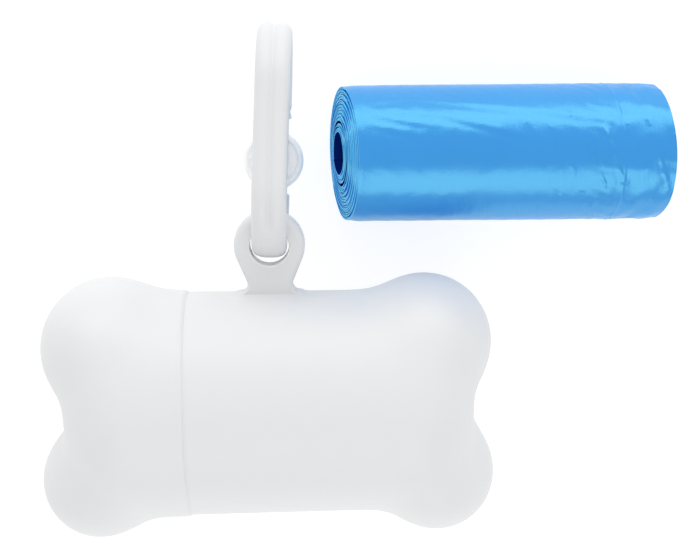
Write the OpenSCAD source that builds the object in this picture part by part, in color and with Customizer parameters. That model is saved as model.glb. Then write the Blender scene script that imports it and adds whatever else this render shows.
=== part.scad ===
// Bone-shaped dispenser for dog waste bags, lying on a table with its clip and a spare roll beside it.
// +X runs along the bone to its closed end, +Y towards the lug and the clip, +Z up from the table.
// The origin is on the table under the middle of the bone.

/* [Shells] */
// Outside radius of the body's tube at the seam
tube_r = 21; // [20:0.5:24]
// How much narrower the tube's radius is at the closed end, for drawing it from the mould
draft = 0.5; // [0:0.1:0.8]
// How far the cap stands proud of the body at the seam
cap_proud = 0.3; // [0.1:0.1:0.6]
// Length of the body from the seam to its closed end face, between the lobes
body_len = 52.6; // [50:0.2:60]
// Length of the cap from the seam to its end face, between the lobes
cap_len = 22.9; // [21:0.1:28]
// Width of the groove that shows at the seam
seam_gap = 0.3; // [0.2:0.1:0.6]
// Wall of the cap and of the closed end
wall = 1.8; // [1.4:0.1:2.2]
// Rounding of the tube's end edges
end_round = 12; // [9:0.5:14]
// Softness of the blend between tube and lobes
blend = 1.4; // [0.9:0.1:1.8]
// Depth of the flat that the bone lies on
flat_depth = 0.5; // [0.3:0.1:0.8]

/* [Lobes] */
// Radius of the cap's lobe on the clip's side
cap_lobe_r = 12.8; // [11:0.2:14]
// How far this lobe stands out past the tube's side
cap_lobe_bulge = 3; // [2:0.1:4]
// How far this lobe stands out past the end face
cap_lobe_reach = 4.9; // [4:0.1:6]
// Radius of the cap's lobe on the other side
cap_heel_r = 10.9; // [9:0.1:12]
// How far this lobe stands out past the tube's side
cap_heel_bulge = 4.1; // [3:0.1:5]
// How far this lobe stands out past the end face
cap_heel_reach = 5.5; // [4:0.1:6]
// Radius of the body's lobe on the clip's side
body_lobe_r = 12.2; // [11:0.1:14]
// How far this lobe stands out past the tube's side
body_lobe_bulge = 2.7; // [2:0.1:4]
// How far this lobe stands out past the end face
body_lobe_reach = 3.8; // [3:0.1:5]
// Radius of the body's lobe on the other side
body_heel_r = 10.8; // [9:0.1:12]
// How far this lobe stands out past the tube's side
body_heel_bulge = 3.7; // [2:0.1:4.5]
// How far this lobe stands out past the end face
body_heel_reach = 4.1; // [3:0.1:5]
// Thickness of a lobe from table to top, against its width
lobe_depth = 1.3; // [1:0.05:1.4]

/* [Mouth and slot] */
// Length of the spigot that the cap pushes onto
spigot_len = 7; // [5:0.5:10]
// Wall of the spigot
spigot_wall = 1; // [0.8:0.1:1.6]
// Gap all round between spigot and cap
push_gap = 0.08; // [0.05:0.01:0.1]
// Length of the slot that the bags are pulled through
slot_len = 24; // [16:1:28]
// Width of that slot
slot_w = 6; // [5:0.5:7]
// Distance of the slot's middle from the seam
slot_from_seam = 29; // [27:0.5:30]

/* [Lug] */
// Distance of the lug from the middle of the bone, towards the closed end
lug_x = 0.6; // [-2:0.1:3]
// Distance of the lug's hole from the tube's axis
lug_reach = 30; // [29:0.1:33]
// Outside radius of the lug's ring
lug_r = 6.6; // [6:0.1:8]
// Radius of the lug's hole
lug_hole_r = 3.65; // [3.5:0.05:4.2]
// Thickness of the lug
lug_t = 4.4; // [3:0.1:5]
// Narrowest width of the lug's neck
neck_w = 8.4; // [7:0.1:10]
// Radius of the hollows on both sides of the neck
neck_hollow_r = 4; // [3:0.1:5]
// Height of the hollows' middles above the tube
neck_rise = 2.8; // [2.4:0.1:3.4]
// How deep the lug's root goes into the tube's wall
lug_root = 1.4; // [1:0.1:1.6]

/* [Clip] */
// Length of the clip's loop over all
clip_len = 44; // [42:0.5:50]
// Depth of the loop over all, from bar to bar
clip_depth = 25.5; // [24:0.5:28]
// Radius of each of the two ridges that make up the bar
ridge_r = 1.9; // [1.7:0.05:1.95]
// Distance between the middles of the two ridges
ridge_pitch = 2.7; // [2.3:0.1:2.8]
// Radius to which the loop's foot is rounded, to turn in the lug
foot_r = 3.3; // [3.2:0.05:3.3]
// How far the foot hangs below the hole's middle
foot_drop = 0.5; // [0.3:0.05:0.6]
// Angle by which the clip has swung towards the closed end
clip_swing = 2.6; // [0:0.1:4]
// Gap that the crown keeps to the table
crown_gap = 0.3; // [0.2:0.1:0.5]

/* [Gate] */
// Width of the gate's bar
gate_w = 3.8; // [3.4:0.1:4]
// Thickness of the gate's bar
gate_t = 2.8; // [2.2:0.1:3.2]
// Length of the gate from its pivot to its tip
gate_len = 15.6; // [15:0.1:15.8]
// Distance of the gate's pivot from the middle of the crown's bend
pivot_inset = 2.2; // [2:0.1:3]
// Radius of the gate's trunnions
trunnion_r = 0.9; // [0.8:0.05:1]
// Running gap of the trunnions in the frame
trunnion_gap = 0.05; // [0.03:0.01:0.1]
// How far the trunnions' ends lie below the frame's sides
trunnion_inset = 0.5; // [0.3:0.1:0.8]
// Gap on each side of the gate in the frame's fork, and at its tip
gate_gap = 0.3; // [0.2:0.05:0.4]
// Radius of the thumb disc
disc_r = 5.75; // [5:0.05:6]
// Distance of the disc's middle from the pivot
disc_from_pivot = 9.5; // [9:0.1:9.9]
// Thickness of the disc's web
disc_web = 1.1; // [0.8:0.1:1.4]
// Height of the rim above the web
rim_h = 1.1; // [0.6:0.1:1.4]
// Width of the rim
rim_w = 1.1; // [0.8:0.1:1.4]
// Radius of the boss in the disc's middle
boss_r = 2.65; // [2.3:0.05:3]
// How far the boss stands out of the gate's bar
boss_proud = 0.3; // [0.1:0.1:0.6]

/* [Roll] */
// Number of bags on the roll
bag_count = 15; // [12:1:20]
// Outside radius of the roll
roll_r = 12.9; // [12:0.1:13.2]
// Length of the roll
roll_len = 57.8; // [54:0.2:62]
// Radius of the open middle that the bags are wound round
core_r = 4.3; // [4:0.1:5]
// Gap between one bag's turns and the next bag's
layer_gap = 0.03; // [0.02:0.01:0.05]
// How far the turns have slipped sideways across the roll, as an angle of its ends
slip_angle = 12.5; // [0:0.5:15]
// Distance of the roll's near end from the middle of the bone
roll_x = 14.8; // [14:0.2:20]
// Distance of the roll's axis from the bone's axis
roll_y = 45.8; // [43:0.1:52]
// Angle by which the roll is turned out of line with the bone
roll_turn = 0.6; // [0:0.1:2]

/* [Hidden] */
bag_names = [for (i = [1 : bag_count]) str("bag_", i < 10 ? "0" : "", i)];

// Sides of small rounds and of large ones
$fn = 64;
large_fn = 96;
// Overlap that a cutting solid runs past the face that it opens
past = 1;

// Places of the shells
axis_z = tube_r - flat_depth;
seam_x = (cap_len - body_len) / 2;
body_end_x = seam_x + body_len;
cap_end_x = seam_x - cap_len;
cap_r = tube_r + cap_proud;
cap_bore_r = cap_r - wall;
spigot_r = cap_bore_r - push_gap;
mouth_r = spigot_r - spigot_wall;

// A skin is side, seam, end face, radius at the seam, radius at the end and its two lobes;
// a lobe is its middle, measured along the side from the bone's middle, and its radius
function lobe(end, radius, r, bulge, reach, up) =
    [[end + reach - r, up * (radius + bulge - r), 0], r];
cap_lobes = [
    lobe(-cap_end_x, tube_r, cap_lobe_r, cap_lobe_bulge, cap_lobe_reach, 1),
    lobe(-cap_end_x, tube_r, cap_heel_r, cap_heel_bulge, cap_heel_reach, -1)
];
body_lobes = [
    lobe(body_end_x, tube_r, body_lobe_r, body_lobe_bulge, body_lobe_reach, 1),
    lobe(body_end_x, tube_r, body_heel_r, body_heel_bulge, body_heel_reach, -1)
];
cap_skin = [-1, -(seam_x - seam_gap / 2), -cap_end_x, cap_r, cap_r, cap_lobes];
body_skin = [1, seam_x + seam_gap / 2, body_end_x, tube_r, tube_r - draft, body_lobes];

// Counts of the skin's mesh
skin_sides = 48;
tube_rings = 14;
end_rings = 16;
bisections = 14;

// Places of the clip; its own frame has x along the loop from the foot, y across from bar to bar
bar_r = clip_depth / 2 - ridge_r;
crown_x = clip_len - 2 * ridge_r - bar_r;
lug_pos = [lug_x, lug_reach, axis_z];
clip_tilt = asin((axis_z - clip_depth / 2 - crown_gap) / crown_x);
bar_half_w = ridge_pitch / 2 + ridge_r;

// Places of the gate, in the clip's frame
pivot_x = crown_x - pivot_inset;
tip_x = pivot_x - gate_len;
disc_x = pivot_x - disc_from_pivot;
knuckle_r = gate_t / 2;
fork_w = gate_w + 2 * gate_gap;
trunnion_reach = bar_half_w - trunnion_inset;

shell_white = [0.94, 0.94, 0.95];
clip_white = [0.91, 0.91, 0.93];
film_blue = [0.16, 0.56, 0.95];

// Distance to the tube with its rounded end edge, in the plane of one meridian
function tube_gap(skin, x, r) =
    let (along = (x - skin[1]) / (skin[2] - skin[1]))
    let (radius = skin[3] + (skin[4] - skin[3]) * min(max(along, 0), 1))
    let (u = x - (skin[2] - end_round), v = r - (radius - end_round))
    norm([max(u, 0), max(v, 0)]) + min(max(u, v), 0) - end_round;
// Distance to a lobe, which is thicker from table to top than it is wide
function lobe_gap(ball, p) =
    norm([p.x - ball[0].x, p.y - ball[0].y, p.z / lobe_depth]) - ball[1];
// Smooth union of the tube and its two lobes: below zero inside
function skin_gap(skin, p) =
    let (near = [tube_gap(skin, p.x, norm([p.y, p.z])), lobe_gap(skin[5][0], p), lobe_gap(skin[5][1], p)])
    -blend * ln(exp(-near[0] / blend) + exp(-near[1] / blend) + exp(-near[2] / blend));
// Where a ray from inside leaves the skin
function skin_reach(skin, from, way, low, high, left) =
    left == 0 ? (low + high) / 2
    : let (mid = (low + high) / 2)
      skin_gap(skin, from + mid * way) < 0
      ? skin_reach(skin, from, way, mid, high, left - 1)
      : skin_reach(skin, from, way, low, mid, left - 1);

// One half of the bone as a closed solid: rings of points square to the tube, then a fan round its end
module skin_solid(skin) {
    fan_x = skin[2] - end_round;
    far = 2 * tube_r;
    rows = [
        for (i = [0 : tube_rings]) [skin[1] + (fan_x - skin[1]) * i / tube_rings, 0],
        for (i = [1 : end_rings]) [fan_x, 90 * i / (end_rings + 1)]
    ];
    ring_points = [
        for (row = rows)
            for (j = [0 : skin_sides - 1])
                let (turn = 360 * j / skin_sides, from = [row[0], 0, 0])
                let (way = [sin(row[1]), cos(row[1]) * cos(turn), cos(row[1]) * sin(turn)])
                from + way * skin_reach(skin, from, way, 1, far, bisections)
    ];
    tip = [fan_x + skin_reach(skin, [fan_x, 0, 0], [1, 0, 0], 1, far, bisections), 0, 0];
    points = concat(ring_points, [[skin[1], 0, 0], tip]);
    row_count = len(rows);
    seam_point = row_count * skin_sides;
    tip_point = seam_point + 1;
    last = (row_count - 1) * skin_sides;
    faces = [
        for (j = [0 : skin_sides - 1])
            let (k = (j + 1) % skin_sides)
            each concat(
                [[seam_point, k, j], [tip_point, last + j, last + k]],
                [for (i = [0 : row_count - 2]) each let (a = i * skin_sides, b = a + skin_sides)
                    [[a + j, a + k, b + k], [a + j, b + k, b + j]]]
            )
    ];
    translate([0, 0, axis_z])
        mirror([skin[0] < 0 ? 1 : 0, 0, 0])
            polyhedron(points, [for (f = faces) [f[0], f[2], f[1]]]);
}

// Everything below the table, to cut the flat that the bone lies on
module table_cut() {
    far = 4 * tube_r;
    translate([-far, -far, -far]) cube([2 * far, 2 * far, far]);
}

// A straight round hollow along the tube with a rounded blind end, from x0 to x1 in the direction of side
module hollow(side, x0, x1, r, corner) {
    translate([0, 0, axis_z])
        mirror([side < 0 ? 1 : 0, 0, 0])
            rotate([0, 90, 0])
                rotate_extrude($fn = large_fn) {
                    translate([0, x0]) square([r, x1 - corner - x0]);
                    translate([0, x0]) square([r - corner, x1 - x0]);
                    translate([r - corner, x1 - corner])
                        intersection() {
                            circle(corner);
                            square(corner);
                        }
                }
}

// The hollows that run on into two lobes, no wider than the bore that the core is drawn out of
module lobe_hollows(side, lobes, r) {
    translate([0, 0, axis_z])
        mirror([side < 0 ? 1 : 0, 0, 0])
            for (ball = lobes)
                intersection() {
                    translate(ball[0]) sphere(ball[1] - wall);
                    rotate([0, 90, 0]) cylinder(h = ball[0].x + ball[1], r = r);
                }
}

// Flat ring with a waisted neck, which stands on the tube and holds the clip
module lug() {
    hollow_x = neck_w / 2 + neck_hollow_r;
    hollow_y = tube_r + neck_rise;
    root_y = tube_r - lug_root;
    translate([lug_x, 0, axis_z - lug_t / 2])
        linear_extrude(lug_t) {
            translate([0, lug_reach]) circle(lug_r);
            translate([-lug_hole_r, root_y]) square([2 * lug_hole_r, lug_reach - root_y]);
            difference() {
                translate([-hollow_x, root_y]) square([2 * hollow_x, hollow_y + neck_hollow_r / 2 - root_y]);
                for (s = [-1, 1]) translate([s * hollow_x, hollow_y]) circle(neck_hollow_r);
            }
        }
}

// Tube that holds one roll, with its closed end, the lug, the spigot for the cap and the slot for the bags
module body_shell() {
    slot_x = seam_x + slot_from_seam;
    color(shell_white)
        difference() {
            union() {
                skin_solid(body_skin);
                lug();
                translate([seam_x - spigot_len, 0, axis_z])
                    rotate([0, 90, 0]) cylinder(h = spigot_len + wall, r = spigot_r, $fn = large_fn);
            }
            hollow(1, seam_x - spigot_len - past, body_end_x - wall, mouth_r, end_round - wall);
            lobe_hollows(1, body_lobes, mouth_r);
            translate(lug_pos - [0, 0, lug_t]) cylinder(h = 2 * lug_t, r = lug_hole_r);
            translate([slot_x, 0, -past])
                linear_extrude(axis_z) {
                    for (s = [-1, 1]) translate([s * (slot_len - slot_w) / 2, 0]) circle(slot_w / 2);
                    square([slot_len - slot_w, slot_w], center = true);
                }
            table_cut();
        }
}

// Push-on cap with the other two lobes
module cap_shell() {
    color(shell_white)
        difference() {
            skin_solid(cap_skin);
            hollow(-1, -seam_x - past, -cap_end_x - wall, cap_bore_r, end_round - wall);
            lobe_hollows(-1, cap_lobes, cap_bore_r);
            table_cut();
        }
}

// Section of the clip's bar: two round ridges side by side, flat between them on the loop's inside
module bar_section() {
    for (s = [-1, 1]) translate([0, s * ridge_pitch / 2]) circle(ridge_r);
    translate([-ridge_r, -ridge_pitch / 2]) square([ridge_r, ridge_pitch]);
}

// A straight stretch of bar from x0 to x1, on the front or the back of the loop
module bar(x0, x1, side) {
    mirror([0, side < 0 ? 1 : 0, 0])
        translate([x0, bar_r, 0])
            rotate([90, 0, 90]) linear_extrude(x1 - x0) bar_section();
}

// Half a turn of bar round one end of the loop
module bend(x, start) {
    translate([x, 0, 0])
        rotate([0, 0, start])
            rotate_extrude(angle = 180, $fn = large_fn) translate([bar_r, 0]) bar_section();
}

// Leans a piece of the clip down from the middle of the lug's hole to the table
module clip_lean() {
    translate([0, -foot_drop, 0]) rotate([-clip_tilt, 0, 0]) rotate([90, 0, 90]) children();
}

// Puts the clip in its place, with the lug's hole as its own origin
module clip_place() {
    translate(lug_pos) rotate([0, 0, -clip_swing]) children();
}

// Loop that hangs in the lug and hooks onto a lead, open at the back where the gate closes it
module clip_frame() {
    far = 2 * clip_len;
    color(clip_white)
        clip_place()
            difference() {
                clip_lean()
                    difference() {
                        union() {
                            bend(bar_r, 90);
                            bend(crown_x, -90);
                            bar(bar_r, crown_x, 1);
                            bar(bar_r, tip_x - gate_gap, -1);
                            bar(pivot_x - knuckle_r, crown_x, -1);
                        }
                        translate([tip_x, -bar_r - ridge_r - past, -fork_w / 2])
                            cube([pivot_x + knuckle_r + gate_gap - tip_x, 2 * (ridge_r + past), fork_w]);
                        translate([pivot_x, -bar_r, -bar_half_w - past])
                            cylinder(h = 2 * (bar_half_w + past), r = trunnion_r + trunnion_gap);
                    }
                // The foot is rounded off to turn in the lug
                difference() {
                    translate([-far, -2 * far, -far]) cube(2 * far);
                    cylinder(h = 3 * far, r = foot_r, center = true);
                }
            }
}

// Sprung gate with its thumb disc, turning on two short trunnions
module clip_gate() {
    color(clip_white)
        clip_place() clip_lean()
            translate([0, -bar_r, 0]) {
                translate([0, 0, -gate_w / 2])
                    linear_extrude(gate_w) {
                        translate([pivot_x, 0]) circle(knuckle_r);
                        translate([tip_x, -gate_t / 2]) square([gate_len, gate_t]);
                    }
                translate([pivot_x, 0, -trunnion_reach]) cylinder(h = 2 * trunnion_reach, r = trunnion_r);
                translate([disc_x, -ridge_r, 0])
                    rotate([-90, 0, 0])
                        rotate_extrude($fn = large_fn) {
                            square([disc_r, disc_web]);
                            translate([disc_r - rim_w, 0]) square([rim_w, disc_web + rim_h]);
                            square([boss_r, ridge_r + gate_t / 2 + boss_proud]);
                        }
            }
}

// Outside radius of a bag's turns; every bag has the same film, so the same share of the roll's section
function bag_r(i) = sqrt(core_r ^ 2 + (roll_r ^ 2 - core_r ^ 2) * (bag_count + 1 - i) / bag_count);

// The turns of one bag, from the outermost, 1, to the innermost
module bag(i) {
    far = 4 * roll_r;
    inner_r = i < bag_count ? bag_r(i + 1) + layer_gap : core_r;
    color(film_blue)
        translate([roll_x, roll_y, roll_r])
            rotate([0, 0, -roll_turn])
                difference() {
                    translate([-roll_r, 0, 0])
                        rotate([0, 90, 0]) cylinder(h = roll_len + 2 * roll_r, r = bag_r(i), $fn = large_fn);
                    translate([-far, 0, 0])
                        rotate([0, 90, 0]) cylinder(h = roll_len + 2 * far, r = inner_r, $fn = large_fn);
                    rotate([0, slip_angle, 0]) translate([-far, -far / 2, -far / 2]) cube(far);
                    translate([roll_len, 0, 0])
                        rotate([0, slip_angle, 0]) translate([0, -far / 2, -far / 2]) cube(far);
                }
}

body_shell();
cap_shell();
clip_frame();
clip_gate();
for (i = [1 : bag_count])
    bag(i);
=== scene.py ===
import math

import bmesh
import bpy
import numpy as np
from mathutils import Matrix, Vector
from mathutils.geometry import tessellate_polygon


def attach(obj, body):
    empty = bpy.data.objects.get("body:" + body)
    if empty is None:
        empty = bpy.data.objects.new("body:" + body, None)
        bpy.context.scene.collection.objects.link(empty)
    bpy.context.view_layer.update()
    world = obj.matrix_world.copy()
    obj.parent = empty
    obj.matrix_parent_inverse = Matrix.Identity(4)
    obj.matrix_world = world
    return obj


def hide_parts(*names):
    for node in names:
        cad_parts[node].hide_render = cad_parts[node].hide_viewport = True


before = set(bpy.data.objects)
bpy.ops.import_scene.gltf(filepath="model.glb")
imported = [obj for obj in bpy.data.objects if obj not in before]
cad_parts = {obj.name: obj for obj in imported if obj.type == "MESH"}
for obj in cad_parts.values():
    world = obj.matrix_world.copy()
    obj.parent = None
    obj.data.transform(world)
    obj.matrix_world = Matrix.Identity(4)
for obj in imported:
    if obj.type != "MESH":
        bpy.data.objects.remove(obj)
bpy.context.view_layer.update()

# The bone's body: a tube with one closed end and two lobes, a lug for the clip, a spigot for the cap and
# a slot underneath that the bags are pulled through. It is moulded in one piece of white polypropylene,
# with the satin finish of a spark-eroded mould and a faint line all round where the mould's halves met.
mm = 0.001
axis_z = 20.5 * mm
tube_r = 21 * mm
draft = 0.5 * mm
wall = 1.8 * mm
end_round = 12 * mm
blend = 1.4 * mm
hollow_blend = 0.4 * mm
lobe_depth = 1.3
seam_x = -14.85 * mm
seam_gap = 0.3 * mm
end_x = 37.75 * mm
fan_x = end_x - end_round
shoulder_edge = 0.03 * mm
spigot_r = 19.42 * mm
mouth_r = 18.42 * mm
spigot_len = 7 * mm
lip = 0.35 * mm
lug_x = 0.6 * mm
lug_reach = 30 * mm
lug_r = 6.6 * mm
lug_hole_r = 3.65 * mm
lug_t = 4.4 * mm
lug_edge = 1.25 * mm
root_edge = 0.35 * mm
lug_hole_edge = 0.4 * mm
hollow_r = 1.6 * mm
hollow_x = 5.8 * mm
hollow_y = tube_r + 1.7 * mm
root_end_r = 1.05 * mm
root_y = hollow_y - hollow_r - root_end_r
swell_y = tube_r - 2 * mm
swell_half = (6.8 * mm, 2.35 * mm, lug_t / 2 + 0.1 * mm)
swell_edge = 1.6 * mm
swell_blend = 0.45 * mm
slot_x = seam_x + 29 * mm
slot_len = 24 * mm
slot_w = 6 * mm
slot_flare = 0.6 * mm


# A lobe is the place of its middle and its radius
def lobe(r, bulge, reach, up):
    return end_x + reach - r, up * (tube_r + bulge - r), r


# How far points lie outside a tapered tube with a rounded end. Every other gap says the same of its form.
def tube_gap(p, seam, end, seam_r, end_r, rounding):
    share = np.clip((p[:, 0] - seam) / (end - seam), 0, 1)
    u = p[:, 0] - (end - rounding)
    v = np.hypot(p[:, 1], p[:, 2]) - (seam_r + (end_r - seam_r) * share - rounding)
    return np.hypot(np.maximum(u, 0), np.maximum(v, 0)) + np.minimum(np.maximum(u, v), 0) - rounding


def lobe_gap(p, ball, depth=1):
    x, y, r = ball
    return np.sqrt((p[:, 0] - x) ** 2 + (p[:, 1] - y) ** 2 + (p[:, 2] / depth) ** 2) - r


def block_gap(p, middle, half, rounding):
    q = np.abs(p - np.array(middle)) - (np.array(half) - rounding)
    return np.linalg.norm(np.maximum(q, 0), axis=1) + np.minimum(q.max(axis=1), 0) - rounding


# Joins forms with a soft fillet where they meet
def melt(gaps, softness):
    return -softness * np.log(sum(np.exp(-g / softness) for g in gaps))


# How far each ray goes from inside until it leaves the surface
def reach(gap, start, way, far):
    low, high = np.zeros(len(start)), np.full(len(start), far)
    for _ in range(26):
        middle = (low + high) / 2
        inside = gap(start + way * middle[:, None]) < 0
        low, high = np.where(inside, middle, low), np.where(inside, high, middle)
    return (low + high) / 2


# Rings square to the tube at each x, then a fan of rings round its end, and the point at the tip
def skin_rings(gap, xs, fan_x, fan_rows, turns, far):
    rows = [(x, 0) for x in xs]
    rows += [(fan_x, math.pi / 2 * i / (fan_rows + 1)) for i in range(1, fan_rows + 1)]
    rings = []
    for x, lean in rows:
        way = np.stack([np.full(len(turns), math.sin(lean)), math.cos(lean) * np.cos(turns),
                        math.cos(lean) * np.sin(turns)], axis=1)
        start = np.tile([x, 0, 0], (len(turns), 1))
        rings.append(start + way * reach(gap, start, way, far)[:, None])
    tip_reach = reach(gap, np.array([[fan_x, 0, 0]]), np.array([[1.0, 0, 0]]), far)[0]
    return rings, np.array([fan_x + tip_reach, 0, 0])


def circle_ring(x, r, turns):
    return np.stack([np.full(len(turns), x), r * np.cos(turns), r * np.sin(turns)], axis=1)


# Part of a round about (x, r), as rings
def corner_rings(x, r, size, first, last, turns, steps=4):
    return [circle_ring(x + size * math.cos(a), r + size * math.sin(a), turns)
            for a in np.linspace(math.radians(first), math.radians(last), steps + 1)]


def new_piece(name, points, faces):
    mesh = bpy.data.meshes.new(name)
    mesh.from_pydata([tuple(p) for p in points], [], faces)
    mesh.validate()
    piece = bpy.data.objects.new(name, mesh)
    bpy.context.scene.collection.objects.link(piece)
    return piece


# One closed skin from rings, in the order inner tip, inner wall, rim, outer wall, outer tip
def ringed_piece(name, rings, first_tip, last_tip, mirrored=False):
    count, sides = len(rings), len(rings[0])
    points = np.concatenate([np.concatenate(rings), [first_tip], [last_tip]])
    k = np.arange(count * sides).reshape(count, sides)
    after = np.roll(k, -1, axis=1)
    faces = np.stack([k[:-1], after[:-1], after[1:], k[1:]], axis=-1).reshape(-1, 4).tolist()
    faces += [[count * sides, b, a] for a, b in zip(k[0].tolist(), after[0].tolist())]
    faces += [[count * sides + 1, a, b] for a, b in zip(k[-1].tolist(), after[-1].tolist())]
    if mirrored:
        points[:, 0] *= -1
        faces = [f[::-1] for f in faces]
    return new_piece(name, points, faces)


# The narrow facet that a shell lies on: what would reach below the table is flat
def flatten_base(piece):
    for v in piece.data.vertices:
        v.co.z = max(v.co.z, 0)
    tidy = bmesh.new()
    tidy.from_mesh(piece.data)
    bmesh.ops.remove_doubles(tidy, verts=tidy.verts, dist=0.002 * mm)
    bmesh.ops.dissolve_degenerate(tidy, edges=tidy.edges, dist=0.001 * mm)
    tidy.to_mesh(piece.data)
    tidy.free()


# Rises smoothly from 0 at low to 1 at high
def ramp(x, low, high):
    share = np.clip((x - low) / (high - low), 0, 1)
    return share * share * (3 - 2 * share)


# A flat plate from outlines in its plane, each with the rounding of its edges, as one radius or as one
# for each point. The first outline is the outer one and goes counter-clockwise, holes go clockwise.
def rounded_plate(name, outlines, thickness, steps=5):
    points, faces, caps, base = [], [], [], 0
    for line, edge in outlines:
        line = np.array(line)
        edge = np.broadcast_to(edge, len(line))
        # The flat's border lies a quarter further in than the rounding, so that the shading stays flat
        levels = [(np.full(len(line), -thickness / 2), 1.25 * edge)]
        levels += [(-thickness / 2 + edge * (1 - math.cos(a)), edge * (1 - math.sin(a)))
                   for a in np.linspace(0, math.pi / 2, steps + 1)]
        levels += [(-height, inset) for height, inset in reversed(levels)]
        before, after = np.roll(line, 1, axis=0), np.roll(line, -1, axis=0)
        way = after - before
        inward = np.stack([-way[:, 1], way[:, 0]], axis=1) / np.linalg.norm(way, axis=1)[:, None]
        n = len(line)
        for height, inset in levels:
            points += np.column_stack([line + inward * inset[:, None], height]).tolist()
        for i in range(len(levels) - 1):
            for j in range(n):
                a, b = base + i * n + j, base + i * n + (j + 1) % n
                faces.append([a, b, b + n, a + n])
        caps.append((base, n))
        base += n * len(levels)
    for level, turned in ((0, True), (len(levels) - 1, False)):
        loops = [[Vector(points[start + level * n + j]) for j in range(n)] for start, n in caps]
        index = [start + level * n + j for start, n in caps for j in range(n)]
        for tri in tessellate_polygon(loops):
            a, b, c = (Vector(points[index[t]]) for t in tri)
            corner = [index[t] for t in tri]
            upward = (b - a).cross(c - a).z > 0
            faces.append(corner[::-1] if upward == turned else corner)
    return new_piece(name, points, faces)


# Points round (x, y), with the angles in degrees
def arc(x, y, r, first, last, count):
    return [(x + r * math.cos(math.radians(a)), y + r * math.sin(math.radians(a)))
            for a in np.linspace(first, last, count)]


# Joins or cuts one closed piece with another, which is used up
def work(piece, tool, operation):
    change = piece.modifiers.new(operation.lower(), "BOOLEAN")
    change.operation, change.object, change.solver = operation, tool, "EXACT"
    bpy.context.view_layer.update()
    made = bpy.data.meshes.new_from_object(piece.evaluated_get(bpy.context.evaluated_depsgraph_get()))
    piece.modifiers.clear()
    piece.data = made
    bpy.data.objects.remove(tool)


def smooth_faces(piece, sharp_from=38):
    piece.data.shade_smooth()
    piece.data.set_sharp_from_angle(angle=math.radians(sharp_from))


body_lobes = [lobe(12.2 * mm, 2.7 * mm, 3.8 * mm, 1), lobe(10.8 * mm, 3.7 * mm, 4.1 * mm, -1)]
body_seam = seam_x + seam_gap / 2


# The outside, which swells a little towards the lug's root
def body_gap(p):
    skin = melt([tube_gap(p, body_seam, end_x, tube_r, tube_r - draft, end_round)]
                + [lobe_gap(p, ball, lobe_depth) for ball in body_lobes], blend)
    swell = block_gap(p, (lug_x, swell_y, 0), swell_half, swell_edge)
    return melt([skin, swell], swell_blend)


def body_hollow_gap(p):
    bore = tube_gap(p, body_seam, end_x - wall, mouth_r, mouth_r, end_round - wall)
    lobes = [np.maximum(lobe_gap(p, (x, y, r - wall)), np.hypot(p[:, 1], p[:, 2]) - mouth_r)
             for x, y, r in body_lobes]
    return melt([bore] + lobes, hollow_blend)


# The points of a ring lie closer together round the lug
body_sides = 264
share = np.arange(body_sides) / body_sides
body_turns = 2 * math.pi * share - 0.6 * np.sin(2 * math.pi * share)
far = 2 * tube_r
outer_fan = 52
inner_fan = 36
mouth_x = seam_x - spigot_len
outer_xs = np.linspace(body_seam + shoulder_edge, fan_x, 104)
inner_xs = np.linspace(mouth_x + lip, fan_x, 30)
outer, outer_tip = skin_rings(body_gap, outer_xs, fan_x, outer_fan, body_turns, far)
inner, inner_tip = skin_rings(body_hollow_gap, inner_xs, fan_x, inner_fan, body_turns, far)
rim = corner_rings(mouth_x + lip, mouth_r + lip, lip, 270, 180, body_turns)
rim += corner_rings(mouth_x + lip, spigot_r - lip, lip, 180, 90, body_turns)
# The shoulder fills almost all of the gap up to the cap's rim, so that the seam is a shallow groove
filled_share = 0.97
step_x = body_seam - filled_share * seam_gap
shoulder_r = tube_r - shoulder_edge
rim += corner_rings(step_x - lip, spigot_r + lip, lip, 270, 360, body_turns)
rim += [circle_ring(step_x, shoulder_r, body_turns)]
rim += corner_rings(body_seam + shoulder_edge, shoulder_r, shoulder_edge, 180, 120, body_turns)
body = ringed_piece("bone_body", inner[::-1] + rim + outer, inner_tip, outer_tip)
body.data.transform(Matrix.Translation((0, 0, axis_z)))

# The lug's outline: round the right end of the root inside the wall, up round the small hollow beside
# the neck, straight to where the side touches the ring, over the ring and down the left in the same way
hollow_from = 264
apart = math.hypot(hollow_x, lug_reach - hollow_y)
leaves = math.degrees(math.acos((lug_r + hollow_r) / apart) - math.atan2(lug_reach - hollow_y, hollow_x))
lug_line = arc(hollow_x, root_y, root_end_r, -90, 90, 14)
lug_line += arc(hollow_x, hollow_y, hollow_r, hollow_from, 180 + leaves, 18)
lug_line += arc(0, lug_reach, lug_r, leaves, 180 - leaves, 96)
lug_line += arc(-hollow_x, hollow_y, hollow_r, -leaves, 180 - hollow_from, 18)
lug_line += arc(-hollow_x, root_y, root_end_r, 90, 270, 14)
lug_hole_line = arc(0, lug_reach, lug_hole_r, 360, 4, 90)
# The plate's edges are rounded less and less where it runs into the wall
clear_of_wall = ramp(np.array(lug_line)[:, 1], tube_r, hollow_y + 1.5 * mm)
lug_edges = root_edge + (lug_edge - root_edge) * clear_of_wall
lug = rounded_plate("lug", [(lug_line, lug_edges), (lug_hole_line, lug_hole_edge)], lug_t)
lug.data.transform(Matrix.Translation((lug_x, 0, axis_z)))
work(body, lug, "UNION")

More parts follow.
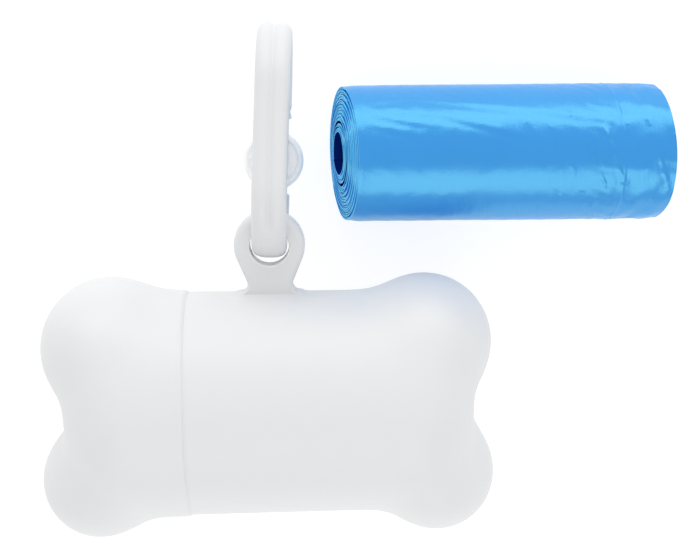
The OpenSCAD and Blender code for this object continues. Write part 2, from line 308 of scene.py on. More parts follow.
# The slot is cut with a flared tool that comes up from below the table
slot_below = -2 * mm
slot_above = 6 * mm
slot_line = arc((slot_len - slot_w) / 2, 0, slot_w / 2, -90, 90, 20)
slot_line += arc((slot_w - slot_len) / 2, 0, slot_w / 2, 90, 270, 20)
slot_ways = np.concatenate([np.linspace(-math.pi / 2, math.pi / 2, 20),
                            np.linspace(math.pi / 2, 1.5 * math.pi, 20)])
slot_levels = [(slot_below, slot_flare), (0, slot_flare)]
slot_levels += [(slot_flare * math.sin(a), slot_flare * (1 - math.sin(a)))
                for a in np.linspace(0.2, math.pi / 2, 5)]
slot_levels += [(slot_above, 0)]
slot_rings = []
for height, flare in slot_levels:
    wide = [(x + flare * np.sign(x) * abs(math.cos(t)), y + flare * math.sin(t), height)
            for (x, y), t in zip(slot_line, slot_ways)]
    slot_rings.append(np.array(wide) + [slot_x, 0, 0])
slot_tool = ringed_piece("slot_tool", slot_rings, slot_rings[0].mean(axis=0),
                         slot_rings[-1].mean(axis=0))
work(body, slot_tool, "DIFFERENCE")
flatten_base(body)
smooth_faces(body)


# The next four make groups and nodes, and set or link their inputs
def new_group(name, inputs, outputs):
    group = bpy.data.node_groups.new(name, "ShaderNodeTree")
    for label, kind, value in inputs:
        socket = group.interface.new_socket(label, in_out="INPUT", socket_type=kind)
        if value is not None:
            socket.default_value = value
    for label, kind in outputs:
        group.interface.new_socket(label, in_out="OUTPUT", socket_type=kind)
    return group, group.nodes.new("NodeGroupInput"), group.nodes.new("NodeGroupOutput")


def node(tree, kind, values=None, **settings):
    made = tree.nodes.new(kind)
    for key, value in settings.items():
        setattr(made, key, value)
    for key, value in (values or {}).items():
        made.inputs[key].default_value = value
    return made


def use(tree, group, values=None):
    made = tree.nodes.new("ShaderNodeGroup")
    made.node_tree = group
    for key, value in (values or {}).items():
        made.inputs[key].default_value = value
    return made


def maths(tree, operation, a, b=None):
    made = tree.nodes.new("ShaderNodeMath")
    made.operation = operation
    for socket, value in zip(made.inputs, (a, b)):
        if isinstance(value, (int, float)):
            socket.default_value = value
        elif value is not None:
            tree.links.new(value, socket)
    return made.outputs[0]


# Surface of a spark-eroded mould: a fine grain, slow sink waves and cloudy changes of gloss
mould_skin, enter, leave = new_group(
    "mould_skin",
    [("Place", "NodeSocketVector", None), ("Grain", "NodeSocketFloat", 5200),
     ("Wave", "NodeSocketFloat", 90)],
    [("Height", "NodeSocketFloat"), ("Cloud", "NodeSocketFloat"), ("Rub", "NodeSocketFloat")])
grain = node(mould_skin, "ShaderNodeTexNoise", {"Detail": 3, "Roughness": 0.6})
mould_skin.links.new(enter.outputs["Place"], grain.inputs["Vector"])
mould_skin.links.new(enter.outputs["Grain"], grain.inputs["Scale"])
wave = node(mould_skin, "ShaderNodeTexNoise", {"Detail": 2, "Roughness": 0.4})
mould_skin.links.new(enter.outputs["Place"], wave.inputs["Vector"])
mould_skin.links.new(enter.outputs["Wave"], wave.inputs["Scale"])
cloud = node(mould_skin, "ShaderNodeTexNoise", {"Scale": 240, "Detail": 5, "Roughness": 0.65})
mould_skin.links.new(enter.outputs["Place"], cloud.inputs["Vector"])
stretch = node(mould_skin, "ShaderNodeMapping", {"Scale": (0.25, 1, 1), "Rotation": (0, 0, 0.5)})
mould_skin.links.new(enter.outputs["Place"], stretch.inputs["Vector"])
rub = node(mould_skin, "ShaderNodeTexNoise", {"Scale": 1500, "Detail": 6, "Roughness": 0.8})
mould_skin.links.new(stretch.outputs[0], rub.inputs["Vector"])
rub_share = node(mould_skin, "ShaderNodeMapRange", {"From Min": 0.62, "From Max": 0.78})
mould_skin.links.new(rub.outputs["Fac"], rub_share.inputs["Value"])
height = maths(mould_skin, "ADD", maths(mould_skin, "MULTIPLY", grain.outputs["Fac"], 0.12),
               maths(mould_skin, "MULTIPLY", wave.outputs["Fac"], 0.9))
mould_skin.links.new(height, leave.inputs["Height"])
mould_skin.links.new(cloud.outputs["Fac"], leave.inputs["Cloud"])
mould_skin.links.new(rub_share.outputs[0], leave.inputs["Rub"])

# Thin raised line where the mould's halves met, at distance 0 from their plane
parting, enter, leave = new_group(
    "parting_line",
    [("Distance", "NodeSocketFloat", 0), ("Width", "NodeSocketFloat", 0.00012)],
    [("Line", "NodeSocketFloat")])
part_share = maths(parting, "DIVIDE", maths(parting, "ABSOLUTE", enter.outputs["Distance"]),
                   enter.outputs["Width"])
line = maths(parting, "SUBTRACT", 1, maths(parting, "MINIMUM", part_share, 1))
parting.links.new(line, leave.inputs["Line"])


# White plastic of two near shades, with the mould's grain and the line where its halves met
def satin_plastic(name, colour, shade, roughness, plane, offset, grain_size):
    material = bpy.data.materials.new(name)
    material.use_nodes = True
    tree = material.node_tree
    shader = tree.nodes["Principled BSDF"]
    place = node(tree, "ShaderNodeTexCoord")
    skin = use(tree, mould_skin, {"Grain": grain_size})
    tree.links.new(place.outputs["Object"], skin.inputs["Place"])
    away = node(tree, "ShaderNodeVectorMath", {1: plane}, operation="DOT_PRODUCT")
    tree.links.new(place.outputs["Object"], away.inputs[0])
    seam = use(tree, parting)
    tree.links.new(maths(tree, "SUBTRACT", away.outputs["Value"], offset), seam.inputs["Distance"])
    tint = node(tree, "ShaderNodeMix", data_type="RGBA")
    tint.inputs[6].default_value = (*colour, 1)
    tint.inputs[7].default_value = (*shade, 1)
    tree.links.new(skin.outputs["Cloud"], tint.inputs[0])
    tree.links.new(tint.outputs[2], shader.inputs["Base Color"])
    gloss = maths(tree, "ADD", maths(tree, "MULTIPLY", skin.outputs["Cloud"], 0.12), roughness - 0.06)
    tree.links.new(maths(tree, "ADD", gloss, maths(tree, "MULTIPLY", skin.outputs["Rub"], 0.07)),
                   shader.inputs["Roughness"])
    height = maths(tree, "ADD", skin.outputs["Height"],
                   maths(tree, "MULTIPLY", seam.outputs["Line"], 0.35))
    bump = node(tree, "ShaderNodeBump", {"Strength": 0.35, "Distance": 0.0001})
    tree.links.new(height, bump.inputs["Height"])
    tree.links.new(bump.outputs[0], shader.inputs["Normal"])
    shader.inputs["IOR"].default_value = 1.47
    return material


shell_white = satin_plastic("shell_white", (0.722, 0.725, 0.729), (0.706, 0.71, 0.715), 0.42, (0, 0, 1),
                            axis_z, 5200)


# Gives a piece its material and the body that it rides on, and hides the solids that it replaces
def dress(piece, material, body_name, slot, *nodes):
    piece.data.materials.clear()
    piece.data.materials.append(material)
    for face in piece.data.polygons:
        face.material_index = 0
    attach(piece, body_name)
    if nodes:
        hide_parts(*nodes)


dress(body, shell_white, "bone", "shell_plastic", "body_shell")


# Light spreads a few millimetres inside thin plastic
def let_light_through(material):
    shader = material.node_tree.nodes["Principled BSDF"]
    shader.inputs["Subsurface Weight"].default_value = 1
    shader.inputs["Subsurface Radius"].default_value = (1, 1, 1)
    shader.inputs["Subsurface Scale"].default_value = 2.5 * mm


# The inside of the lug's hole gets a paler copy of the shell's white, painted light that lifts the shade
# on its wall, and light also spreads a little into it through the narrow ring. Faces that point more
# nearly up or down than flat_from belong to the lug's flats.
flat_from = 0.97
lug_hole_painted_light = satin_plastic("lug_hole_painted_light", (0.9, 0.9, 0.9), (0.88, 0.88, 0.88), 0.42, (0, 0, 1),
                               axis_z, 5200)
let_light_through(lug_hole_painted_light)
body.data.materials.append(lug_hole_painted_light)
for face in body.data.polygons:
    across = math.hypot(face.center.x - lug_x, face.center.y - lug_reach)
    if across < lug_hole_r + lug_hole_edge and abs(face.normal.z) < flat_from:
        face.material_index = 1

# The cap: the bone's other end with its two lobes, a thin-walled cup of the same white polypropylene.
# It is pushed over the body's spigot and stands a little proud of the body at the seam.
cap_r = 21.3 * mm
cap_bore_r = 19.5 * mm
cap_seam = -seam_x + seam_gap / 2
cap_lobes = [lobe(12.8 * mm, 3 * mm, 4.9 * mm, 1), lobe(10.9 * mm, 4.1 * mm, 5.5 * mm, -1)]
lead_in = 0.4 * mm
# The soft edge at the seam, as (distance from the rim, depth below the cap's skin)
seam_slope = [(0, 0.3 * mm), (0.15 * mm, 0.2 * mm), (0.3 * mm, 0.11 * mm), (0.45 * mm, 0.04 * mm)]
seam_edge = 0.6 * mm


# The cap is made as a body of its own, seam at the left, and mirrored at the end
def cap_gap(p):
    return melt([tube_gap(p, cap_seam, end_x, cap_r, cap_r, end_round)]
                + [lobe_gap(p, ball, lobe_depth) for ball in cap_lobes], blend)


def cap_hollow_gap(p):
    bore = tube_gap(p, cap_seam, end_x - wall, cap_bore_r, cap_bore_r, end_round - wall)
    lobes = [np.maximum(lobe_gap(p, (x, y, r - wall)), np.hypot(p[:, 1], p[:, 2]) - cap_bore_r)
             for x, y, r in cap_lobes]
    return melt([bore] + lobes, hollow_blend)


cap_sides = 216
cap_turns = np.arange(cap_sides) * 2 * math.pi / cap_sides
outer_xs = np.linspace(cap_seam + seam_edge, fan_x, 26)
inner_xs = np.linspace(cap_seam + lead_in, fan_x, 14)
outer, outer_tip = skin_rings(cap_gap, outer_xs, fan_x, outer_fan, cap_turns, far)
inner, inner_tip = skin_rings(cap_hollow_gap, inner_xs, fan_x, inner_fan, cap_turns, far)
rim = [circle_ring(cap_seam, cap_bore_r + lead_in, cap_turns)]
rim += [circle_ring(cap_seam + run, cap_r - depth, cap_turns) for run, depth in seam_slope]
cap = ringed_piece("bone_cap", inner[::-1] + rim + outer, inner_tip, outer_tip, mirrored=True)
cap.data.transform(Matrix.Translation((0, 0, axis_z)))
flatten_base(cap)
smooth_faces(cap)
dress(cap, shell_white, "cap", "shell_plastic", "cap_shell")

# The clip's loop: a white acetal bar of two round ridges, bent to a long loop that hangs in the lug and
# is open at the back, where the gate closes it. Its foot is rounder and has no groove, so that it turns
# in the lug's hole.
clip_len = 44 * mm
clip_depth = 25.5 * mm
ridge_r = 1.9 * mm
ridge_pitch = 2.7 * mm
ridge_blend = 0.16 * mm
foot_r = 3.3 * mm
foot_drop = 0.5 * mm
clip_swing = math.radians(2.6)
crown_gap = 0.3 * mm
gate_len = 15.6 * mm
gate_t = 2.8 * mm
gate_w = 3.8 * mm
gate_gap = 0.3 * mm
bar_r = clip_depth / 2 - ridge_r
crown_x = clip_len - 2 * ridge_r - bar_r
bar_half_w = ridge_pitch / 2 + ridge_r
pivot_x = crown_x - 2.2 * mm
tip_x = pivot_x - gate_len
knuckle_r = gate_t / 2
trunnion_r = 0.9 * mm
clip_tilt = math.asin((axis_z - clip_depth / 2 - crown_gap) / crown_x)
stub_edge = 0.45 * mm

# The loop is made with its length along x and its width along z, then stood on edge and leant down
clip_lean = (Matrix.Translation((0, -foot_drop, 0)) @ Matrix.Rotation(-clip_tilt, 4, "X")
             @ Matrix(((0, 0, 1, 0), (1, 0, 0, 0), (0, 1, 0, 0), (0, 0, 0, 1))))
clip_place = Matrix.Translation((lug_x, lug_reach, axis_z)) @ Matrix.Rotation(-clip_swing, 4, "Z")


# The bar's section, outward and across, with the notch between the ridges a little softened
def bar_gap(p):
    flat = block_gap(p, (-ridge_r / 2, 0, 0), (ridge_r / 2, ridge_pitch / 2, 1), 0.01 * mm)
    ridges = [np.hypot(p[:, 0], p[:, 1] - s * ridge_pitch / 2) - ridge_r for s in (-1, 1)]
    return melt(ridges + [flat], ridge_blend)


# The rounder section of the foot, without the notch
def foot_bar_gap(p):
    return (np.abs(p[:, 0]) / ridge_r) ** 2.5 + (np.abs(p[:, 1]) / bar_half_w) ** 2.5 - 1


section_sides = 72
section_turns = np.arange(section_sides) * 2 * math.pi / section_sides
section_way = np.stack([np.cos(section_turns), np.sin(section_turns), np.zeros(section_sides)], axis=1)
section_middle = np.zeros((section_sides, 3))
section, foot_section = (
    section_way * reach(gap, section_middle, section_way, 2 * bar_half_w)[:, None]
    for gap in (bar_gap, foot_bar_gap))

# The loop's middle line from the fork, round the crown, down the front and round the foot to the stub
route = [(x, -bar_r, -90) for x in np.linspace(pivot_x - knuckle_r, crown_x, 10)]
route += [(crown_x + bar_r * math.cos(math.radians(a)), bar_r * math.sin(math.radians(a)), a)
          for a in np.linspace(-90, 90, 66)[1:]]
route += [(x, bar_r, 90) for x in np.linspace(crown_x, bar_r, 24)[1:]]
route += [(bar_r + bar_r * math.cos(math.radians(a)), bar_r * math.sin(math.radians(a)), a)
          for a in np.linspace(90, 270, 80)[1:]]
stub_x = tip_x - gate_gap
loop_rings = []
for x, y, outward in route:
    out = np.array([math.cos(math.radians(outward)), math.sin(math.radians(outward)), 0])
    ring = section + (foot_section - section) * ramp(-out[0], 0.5, 0.85)
    loop_rings.append(np.array([x, y, 0]) + ring[:, :1] * out + ring[:, 1:2] * [0, 0, 1])
for a in np.linspace(0, math.pi / 2, 5)[1:]:
    shrink = 1 - stub_edge * (1 - math.cos(a)) / ridge_r
    ring = section * shrink
    end = np.array([stub_x - stub_edge * (1 - math.sin(a)), -bar_r, 0])
    loop_rings.append(end + ring[:, :1] * [0, -1, 0] + ring[:, 1:2] * [0, 0, 1])
loop = ringed_piece("clip_loop", [ring[::-1] for ring in loop_rings],
                    loop_rings[0].mean(axis=0), loop_rings[-1].mean(axis=0))

# The fork for the gate, and the bores for its trunnions
fork_w = gate_w + 2 * gate_gap
fork_len = 2 * knuckle_r + gate_gap + 1 * mm
fork_half_h = 3 * mm
fork_edge = 0.2 * mm
bore_r = trunnion_r + 0.05 * mm
bore_reach = 4 * mm
fork_line = [(-fork_len / 2, -fork_half_h), (fork_len / 2, -fork_half_h), (fork_len / 2, fork_half_h),
             (-fork_len / 2, fork_half_h)]
fork_tool = rounded_plate("fork_tool", [(fork_line, fork_edge)], fork_w, steps=2)
fork_x = pivot_x + knuckle_r + gate_gap - fork_len / 2
fork_tool.data.transform(Matrix.Translation((fork_x, -bar_r, 0)))
work(loop, fork_tool, "DIFFERENCE")
bore_rings = [circle_ring(x, bore_r, section_turns) for x in (-bore_reach, bore_reach)]
bore_tool = ringed_piece("bore_tool", bore_rings, np.array([-bore_reach, 0, 0]),
                         np.array([bore_reach, 0, 0]))
bore_tool.data.transform(Matrix.Translation((pivot_x, -bar_r, 0)) @ Matrix.Rotation(math.pi / 2, 4, "Y"))
work(loop, bore_tool, "DIFFERENCE")
loop.data.transform(clip_lean)
# The part of the foot below the hole's middle stays within the round that can turn in the hole
for v in loop.data.vertices:
    across = math.hypot(v.co.x, v.co.y)
    if v.co.y < 0 and across > foot_r:
        v.co.x, v.co.y = v.co.x * foot_r / across, v.co.y * foot_r / across
loop.data.transform(clip_place)
smooth_faces(loop, 42)
side_way = clip_place.to_3x3() @ Vector((1, 0, 0))
clip_white = satin_plastic("clip_white", (0.70, 0.704, 0.709), (0.685, 0.69, 0.696), 0.38, side_way,
                           side_way.dot(clip_place.translation), 7000)
dress(loop, clip_white, "clip", "clip_plastic", "clip_frame")

# The clip's gate: a short bar with a dished thumb disc, moulded in the loop's white acetal. It turns on
# two trunnions that snap into the fork, and a leaf hidden in the knuckle springs it shut.
disc_r = 5.75 * mm
disc_x = pivot_x - 9.5 * mm
disc_web = 1.1 * mm
rim_h = 1.1 * mm
rim_w = 1.1 * mm
boss_r = 2.65 * mm
boss_top = ridge_r + gate_t / 2 + 0.3 * mm
trunnion_reach = bar_half_w - 0.5 * mm
gate_edge = 0.4 * mm
pin_edge = 0.2 * mm
dish_fillet = 0.5 * mm

gate_line = arc(pivot_x, 0, knuckle_r, -90, 90, 24)
gate_line += arc(tip_x + gate_edge, knuckle_r - gate_edge, gate_edge, 90, 180, 6)
gate_line += arc(tip_x + gate_edge, gate_edge - knuckle_r, gate_edge, 180, 270, 6)
gate = rounded_plate("clip_gate_bar", [(gate_line, gate_edge)], gate_w)


# A turned shape from its profile of radius and height, round the x axis
def turned(name, profile, sides):
    turns = np.arange(sides) * 2 * math.pi / sides
    rings = [circle_ring(h, r, turns) for r, h in profile[1:-1]]
    return ringed_piece(name, rings, np.array([profile[0][1], 0, 0]), np.array([profile[-1][1], 0, 0]))


half_rim = rim_w / 2
dish = [(0, 0), (disc_r / 2, 0)]
dish += [(r, h) for r, h in arc(disc_r - dish_fillet, dish_fillet, dish_fillet, -90, 0, 6)]
dish += arc(disc_r - half_rim, disc_web + rim_h - half_rim, half_rim, 0, 180, 12)
dish += arc(disc_r - rim_w - dish_fillet, disc_web + dish_fillet, dish_fillet, 0, -90, 6)
dish += arc(boss_r + dish_fillet, disc_web + dish_fillet, dish_fillet, 270, 180, 6)
dish += arc(boss_r - gate_edge, boss_top - gate_edge, gate_edge, 0, 90, 6)
dish += [(boss_r / 2, boss_top), (0, boss_top)]
disc = turned("disc", dish, 128)
disc.data.transform(Matrix.Translation((disc_x, -ridge_r, 0)) @ Matrix.Rotation(math.pi / 2, 4, "Z"))
work(gate, disc, "UNION")
pin_profile = [(0, -trunnion_reach), (trunnion_r - pin_edge, -trunnion_reach),
               (trunnion_r, pin_edge - trunnion_reach), (trunnion_r, trunnion_reach - pin_edge),
               (trunnion_r - pin_edge, trunnion_reach), (0, trunnion_reach)]
pin = turned("pin", pin_profile, 48)
pin.data.transform(Matrix.Translation((pivot_x, 0, 0)) @ Matrix.Rotation(-math.pi / 2, 4, "Y"))
work(gate, pin, "UNION")
gate.data.transform(clip_place @ clip_lean @ Matrix.Translation((0, -bar_r, 0)))
smooth_faces(gate, 42)
# The gate's acetal is a paler copy of the loop's, painted light that lifts the shade in its dish under
# the loop
gate_painted_light = satin_plastic("gate_painted_light", (0.86, 0.865, 0.87), (0.84, 0.845, 0.852), 0.38, side_way,
                           side_way.dot(clip_place.translation), 7000)
let_light_through(gate_painted_light)
dress(gate, gate_painted_light, "gate", "clip_plastic", "clip_gate")

# The spare roll: fifteen bags of thin glossy blue polythene, joined at perforations and wound on nothing,
# so that the middle is open. The ends of the turns have slipped sideways, and the outermost bag's film
# is creased.
bag_count = 15
roll_r = 12.9 * mm
roll_len = 57.8 * mm
core_r = 4.3 * mm
layer_gap = 0.03 * mm
slip = math.tan(math.radians(12.5))
roll_place = (Matrix.Translation((14.8 * mm, 45.8 * mm, roll_r))
              @ Matrix.Rotation(math.radians(-0.6), 4, "Z"))
core_out = 1.1 * mm
film_pitch = 0.19 * mm
film_share = 0.93
film_sides = 72
fine_sides = 150
end_reach = 3 * mm
slip_turns = 4.6
crease_u = 48.5 * mm


# The outer radius of a bag: all bags have the same amount of film
def bag_r(i):
    return math.sqrt(core_r**2 + (roll_r**2 - core_r**2) * (bag_count + 1 - i) / bag_count)


# Waves one way across the film, bent by two slower ones
def ripple(u, arc_len, length, lean, seed):
    shift = np.random.default_rng(seed).uniform(0, 2 * math.pi, 3)
    along = (u * math.cos(lean) + arc_len * math.sin(lean)) / length
    across = (arc_len * math.cos(lean) - u * math.sin(lean)) / length
    bent = along + 0.35 * np.sin(1.9 * across + shift[0])
    bent = bent + 0.2 * np.sin(3.7 * across + 1.3 * along + shift[1])
    return np.sin(2 * math.pi * bent + shift[2])


# A fold in the film along a line of (place along the roll, angle round it from the top)
def fold(u, turn, line, depth, width):
    places, angles = zip(*line)
    middle = np.interp(u, places, np.radians(angles))
    off = (turn - middle) * roll_r / width
    begins = ramp(u, places[0] - 2 * mm, places[0] + 3 * mm)
    strength = begins * (1 - ramp(u, places[-1] - 6 * mm, places[-1] + 2 * mm))
    return -depth * strength * (np.exp(-off**2) - 0.6 * np.exp(-(off - 1.5) ** 2))


# The larger folds, all on the film's upper side, as (line, depth, width)
folds = [
    ([(3 * mm, 51), (11 * mm, 55), (28 * mm, 44), (40 * mm, 34), (46 * mm, 30)], 0.08 * mm, 0.7 * mm),
    ([(2 * mm, 38), (10 * mm, 30), (15 * mm, 26)], 0.09 * mm, 0.6 * mm),
    ([(6 * mm, 41), (15 * mm, 37), (26 * mm, 22), (32 * mm, 14)], 0.08 * mm, 0.65 * mm),
    ([(3 * mm, 27), (8 * mm, 21), (12 * mm, 17)], 0.07 * mm, 0.6 * mm),
]


# How far the outermost film lies below a true cylinder
def film_sag(u, turn):
    arc_len = turn * roll_r
    sag = 0.03 * mm * ripple(u, arc_len, 13 * mm, 1.3, 1)
    sag = sag + 0.014 * mm * ripple(u, arc_len, 4 * mm, 0.2, 2)
    for line, depth, width in folds:
        sag = sag + fold(u, turn, line, depth, width)
    beyond = ramp(u, crease_u - 0.6 * mm, crease_u + 0.2 * mm)
    sag = sag - 0.03 * mm * beyond + 0.1 * mm * np.exp(-(((u - crease_u) / (0.2 * mm)) ** 2))
    rumple = ramp(u, crease_u - 4 * mm, crease_u + 4 * mm)
    waves = ripple(u, arc_len, 7 * mm, 0.6, 3) + 0.7 * ripple(u, arc_len, 4.6 * mm, -0.8, 4)
    sag = sag + rumple * 0.07 * mm * waves
    near = np.exp(-(((u - crease_u + 3 * mm) / (3.5 * mm)) ** 2))
    sag = sag + near * 0.035 * mm * ripple(u, arc_len, 2.6 * mm, 0.75, 5)
    return np.minimum(sag - 0.12 * mm, 0)


# The turns draw in towards both ends
def end_taper(u):
    return -0.2 * mm * (1 - ramp(u, 0, 2.5 * mm)) - 0.3 * mm * ramp(u, roll_len - 3 * mm, roll_len)


# One bag's film as a closed sheet wound from its outer to its inner radius, and the material of each
# face: 0 for the film's sides, 1 for its edges, with painted light, and 2 for sides that lie deep inside
# the roll, with painted shade
def wound_bag(name, outer_r, inner_r, first_turn, count, steps, places, detail, drop, open_out, open_in):
    pitch = (outer_r - inner_r) / count
    k = np.linspace(0, count, count * steps + 1)
    turn = first_turn + 2 * math.pi * k
    wound = (first_turn / (2 * math.pi)) + k
    loose = 0.03 * pitch * np.sin(2 * math.pi * wound / slip_turns)
    middle = outer_r - film_share * pitch / 2 - (pitch * k) * (1 - film_share / count / 1.5) + loose
    wrapped = (turn + math.pi) % (2 * math.pi) - math.pi
    # The turns' ends have slipped along the roll, a little further with each turn and then back
    slide = (0.34 * ((wound / slip_turns) % 1) + 0.05 * np.sin(2 * math.pi * wound / 1.9 + 1)
             + 0.03 * np.sin(3 * turn + 5 * wound)) * mm
    sheets = []
    for side in (1, -1):
        u, r = np.meshgrid(places, middle + side * film_share * pitch / 2)
        taper = end_taper(u) * (r - core_r) / (roll_r - core_r)
        if detail:
            r = r + taper + film_sag(u, wrapped[:, None])
        else:
            r = r + taper - 0.3 * mm * np.sin(math.pi * u / roll_len) * (r > 10 * mm)
        z = r * np.cos(turn)[:, None] - drop
        ends = np.clip(1 - u / end_reach, 0, 1) + np.clip(1 - (roll_len - u) / end_reach, 0, 1)
        x = u + (z * slip) + slide[:, None] * ends
        x = x - core_out * (roll_r - r) / (roll_r - core_r) * np.clip(1 - u / (12 * mm), 0, 1)
        sheets.append(np.stack([x, r * np.sin(turn)[:, None], z], axis=-1))
    rows, columns = len(k), len(places)
    points = np.concatenate([s.reshape(-1, 3) for s in sheets])
    top = np.arange(rows * columns).reshape(rows, columns)
    under = top + rows * columns
    quads = [np.stack([top[:-1, :-1], top[:-1, 1:], top[1:, 1:], top[1:, :-1]], axis=-1),
             np.stack([under[:-1, :-1], under[1:, :-1], under[1:, 1:], under[:-1, 1:]], axis=-1)]
    quads = [q.reshape(-1, 4) for q in quads]
    rims = [(top[:, 0], under[:, 0]), (under[:, -1], top[:, -1]), (under[0], top[0]),
            (top[-1], under[-1])]
    for a, b in rims:
        quads.append(np.stack([a[:-1], a[1:], b[1:], b[:-1]], axis=-1))
    piece = new_piece(name, points, np.concatenate(quads).tolist())
    piece.data.transform(roll_place)
    side_faces = (rows - 1) * (columns - 1)
    finish = np.full(len(piece.data.polygons), 1)
    finish[:2 * side_faces] = 0
    finish[-2 * (columns - 1):] = 2 if open_in else 0
    turn_faces = steps * (columns - 1)
    if open_out:
        finish[:turn_faces] = 2
    if open_in:
        finish[2 * side_faces - turn_faces:2 * side_faces] = 2
    return piece, finish


# Polythene film: glossy, a little paler where it is stretched, with fine wrinkles that run round it
def polythene(name, colour, stretched, roughness, shine):
    film = bpy.data.materials.new(name)
    film.use_nodes = True
    tree = film.node_tree
    shader = tree.nodes["Principled BSDF"]
    place = node(tree, "ShaderNodeTexCoord")
    squeeze = node(tree, "ShaderNodeMapping", {"Scale": (1, 0.22, 0.22)})
    tree.links.new(place.outputs["Object"], squeeze.inputs["Vector"])
    wrinkle = node(tree, "ShaderNodeTexNoise", {"Scale": 900, "Detail": 4, "Roughness": 0.55})
    tree.links.new(squeeze.outputs[0], wrinkle.inputs["Vector"])
    speck = node(tree, "ShaderNodeTexNoise", {"Scale": 2600, "Detail": 2, "Roughness": 0.5})
    tree.links.new(place.outputs["Object"], speck.inputs["Vector"])
    pale = node(tree, "ShaderNodeTexNoise", {"Scale": 130, "Detail": 4, "Roughness": 0.6})
    tree.links.new(squeeze.outputs[0], pale.inputs["Vector"])
    tint = node(tree, "ShaderNodeMix", data_type="RGBA")
    tint.inputs[6].default_value = (*colour, 1)
    tint.inputs[7].default_value = (*stretched, 1)
    tree.links.new(pale.outputs["Fac"], tint.inputs[0])
    tree.links.new(tint.outputs[2], shader.inputs["Base Color"])
    gloss = maths(tree, "ADD", maths(tree, "MULTIPLY", pale.outputs["Fac"], 0.1), roughness)
    tree.links.new(gloss, shader.inputs["Roughness"])
    # Short slanting creases, most of them towards the roll's right end
    aslant = node(tree, "ShaderNodeMapping",
                  {"Rotation": (0, 0, math.radians(-38)), "Scale": (1, 0.5, 1)})
    tree.links.new(place.outputs["Object"], aslant.inputs["Vector"])
    lines = node(tree, "ShaderNodeTexWave",
                 {"Scale": 95, "Distortion": 5, "Detail": 3, "Detail Scale": 1.6})
    tree.links.new(aslant.outputs[0], lines.inputs["Vector"])
    patch = node(tree, "ShaderNodeTexNoise", {"Scale": 210, "Detail": 2})
    tree.links.new(place.outputs["Object"], patch.inputs["Vector"])
    some = node(tree, "ShaderNodeMapRange", {"From Min": 0.5, "From Max": 0.66})
    tree.links.new(patch.outputs["Fac"], some.inputs["Value"])
    across = node(tree, "ShaderNodeSeparateXYZ")
    tree.links.new(place.outputs["Object"], across.inputs[0])
    rightward = node(tree, "ShaderNodeMapRange", {"From Min": 0.04, "From Max": 0.062, "To Min": 0.12})
    tree.links.new(across.outputs["X"], rightward.inputs["Value"])
    creases = maths(tree, "MULTIPLY", maths(tree, "POWER", lines.outputs["Fac"], 7), some.outputs[0])
    creases = maths(tree, "MULTIPLY", creases, maths(tree, "MULTIPLY", rightward.outputs[0], 1.6))
    height = maths(tree, "ADD", wrinkle.outputs["Fac"],
                   maths(tree, "MULTIPLY", speck.outputs["Fac"], 0.25))
    height = maths(tree, "ADD", height, creases)
    bump = node(tree, "ShaderNodeBump", {"Strength": 0.7, "Distance": 0.00012})
    tree.links.new(height, bump.inputs["Height"])
    tree.links.new(bump.outputs[0], shader.inputs["Normal"])
    # Several thin layers shine through one another, so that the film reflects more than one sheet does
    shader.inputs["IOR"].default_value = 2.0
    shader.inputs["Specular IOR Level"].default_value = shine
    shader.inputs["Specular Tint"].default_value = (0.33, 1, 0.92, 1)
    return film


film_side = polythene("blue_film", (0.0, 0.16, 0.63), (0.001, 0.185, 0.70), 0.2, 0.9)
# The film's edges get a paler copy of the blue, painted light on the turns' ends
film_edge_painted_light = polythene("blue_film_edge", (0.05, 0.52, 0.98), (0.07, 0.58, 1.0), 0.42, 0.3)
# Faces deep inside the roll get a near-black copy of the blue, painted shade
film_painted_shade = polythene("blue_film_painted_shade", (0.0008, 0.014, 0.15), (0.001, 0.018, 0.19), 0.5, 0)

# The places along the roll where the film has points, closer together for the outermost bag
fine = np.unique(np.concatenate([np.linspace(0, roll_len, 150), np.linspace(0, end_reach, 12),
                                 np.linspace(crease_u - 6 * mm, roll_len, 100)]))
plain = np.array([0, 0.8 * mm, end_reach, roll_len - end_reach, roll_len - 0.8 * mm, roll_len])
# The angle from the top at which a bag's film begins
edge_turn = math.radians(205)
for i in range(1, bag_count + 1):
    inner_r = bag_r(i + 1) + layer_gap if i < bag_count else core_r
    outer_r, drop = bag_r(i), 0
    if i >= bag_count - 1:
        # The last two bags have come loose from the pack and lie on the middle's lower side
        outer_r, inner_r, drop = outer_r - 0.42 * mm, inner_r - 0.3 * mm, 0.22 * mm
    count = max(2, round((outer_r - inner_r) / film_pitch))
    steps, places = (fine_sides, fine) if i == 1 else (film_sides, plain)
    # The walls of the gap outside the loose bags and of the open middle get painted shade
    open_out = i == bag_count - 1
    open_in = i in (bag_count - 2, bag_count)
    bag, finish = wound_bag(f"bag_{i:02d}_film", outer_r, inner_r, edge_turn, count, steps, places,
                            i == 1, drop, open_out, open_in)
    smooth_faces(bag, 50)
    dress(bag, film_side, "roll", "bag_film", f"bag_{i:02d}")
    for extra in (film_edge_painted_light, film_painted_shade):
        bag.data.materials.append(extra)
    bag.data.polygons.foreach_set("material_index", finish)
    edge_turn += 2 * math.pi * count

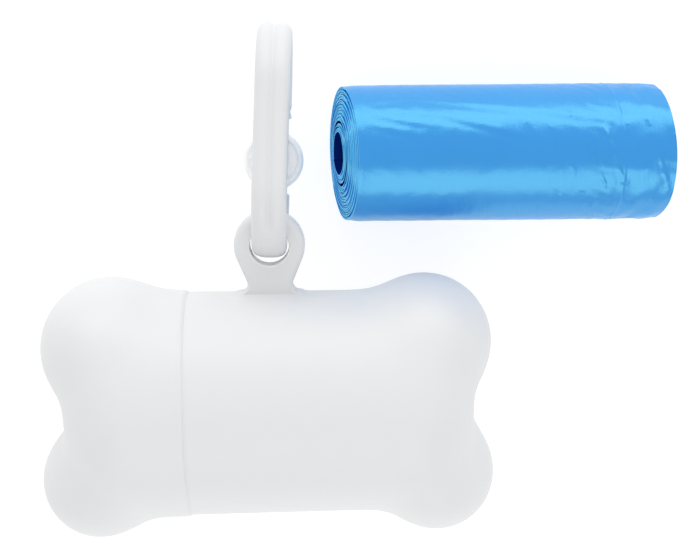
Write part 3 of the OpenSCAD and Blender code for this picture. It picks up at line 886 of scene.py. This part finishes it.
# The table that everything lies on is a plain white board, lit softly from all round as in a light tent,
# with a long window of light on the clip's side and a smaller one opposite.
floor = new_piece("floor", [(-2, -2, 0), (2, -2, 0), (2, 2, 0), (-2, 2, 0)], [[0, 1, 2, 3]])
board = bpy.data.materials.new("white_board")
board.use_nodes = True
shader = board.node_tree.nodes["Principled BSDF"]
shader.inputs["Base Color"].default_value = (0.35, 0.35, 0.35, 1)
shader.inputs["Roughness"].default_value = 0.9
shader.inputs["Emission Color"].default_value = (1, 1, 1, 1)
shader.inputs["Emission Strength"].default_value = 0.75
floor.data.materials.append(board)

world = bpy.data.worlds.new("tent")
world.use_nodes = True
world.node_tree.nodes["Background"].inputs["Color"].default_value = (0.99, 0.995, 1, 1)
world.node_tree.nodes["Background"].inputs["Strength"].default_value = 0.84
bpy.context.scene.world = world


# A lit rectangle that faces its target, zenith away from overhead and toward 1 or -1 along y
def window(name, target, zenith, toward, distance, size, power):
    light = bpy.data.lights.new(name, "AREA")
    light.shape, light.size, light.size_y, light.energy = "RECTANGLE", size[0], size[1], power
    holder = bpy.data.objects.new(name, light)
    bpy.context.scene.collection.objects.link(holder)
    away = Vector((0, toward * math.sin(zenith), math.cos(zenith)))
    holder.location = Vector(target) + away * distance
    holder.rotation_mode = "QUATERNION"
    holder.rotation_quaternion = away.to_track_quat("Z", "X")
    return holder


window("clip_side_window", (0.02, 0.02, 0.02), math.radians(72), 1, 0.5, (0.32, 0.9), 1.3)
window("near_window", (0.045, 0.045, 0.02), math.radians(44), -1, 0.45, (0.34, 0.34), 0.42)

# The camera looks down on the table from the clip's side, as the photograph does, a little rolled
camera = bpy.data.objects.new("camera", bpy.data.cameras.new("camera"))
bpy.context.scene.collection.objects.link(camera)
looked_at = Vector((15.45 * mm, 23 * mm, 20.5 * mm))
camera_distance = 400 * mm
camera_lean = math.radians(11)
camera_roll = math.radians(1.1)
pixels_per_mm = 5.36
picture_w = 700
sensor_w = 36
forward = Vector((0, -math.sin(camera_lean), -math.cos(camera_lean)))
up = Vector((0, math.cos(camera_lean), -math.sin(camera_lean)))
right = forward.cross(up)
rolled_up = up * math.cos(camera_roll) + right * math.sin(camera_roll)
rolled_right = right * math.cos(camera_roll) - up * math.sin(camera_roll)
camera.matrix_world = (Matrix.Translation(looked_at - forward * camera_distance)
                       @ Matrix((rolled_right, rolled_up, -forward)).transposed().to_4x4())
camera.data.sensor_width = sensor_w
camera.data.lens = sensor_w * pixels_per_mm * camera_distance / mm / picture_w
bpy.context.scene.camera = camera
bpy.context.scene.view_settings.view_transform = "Standard"
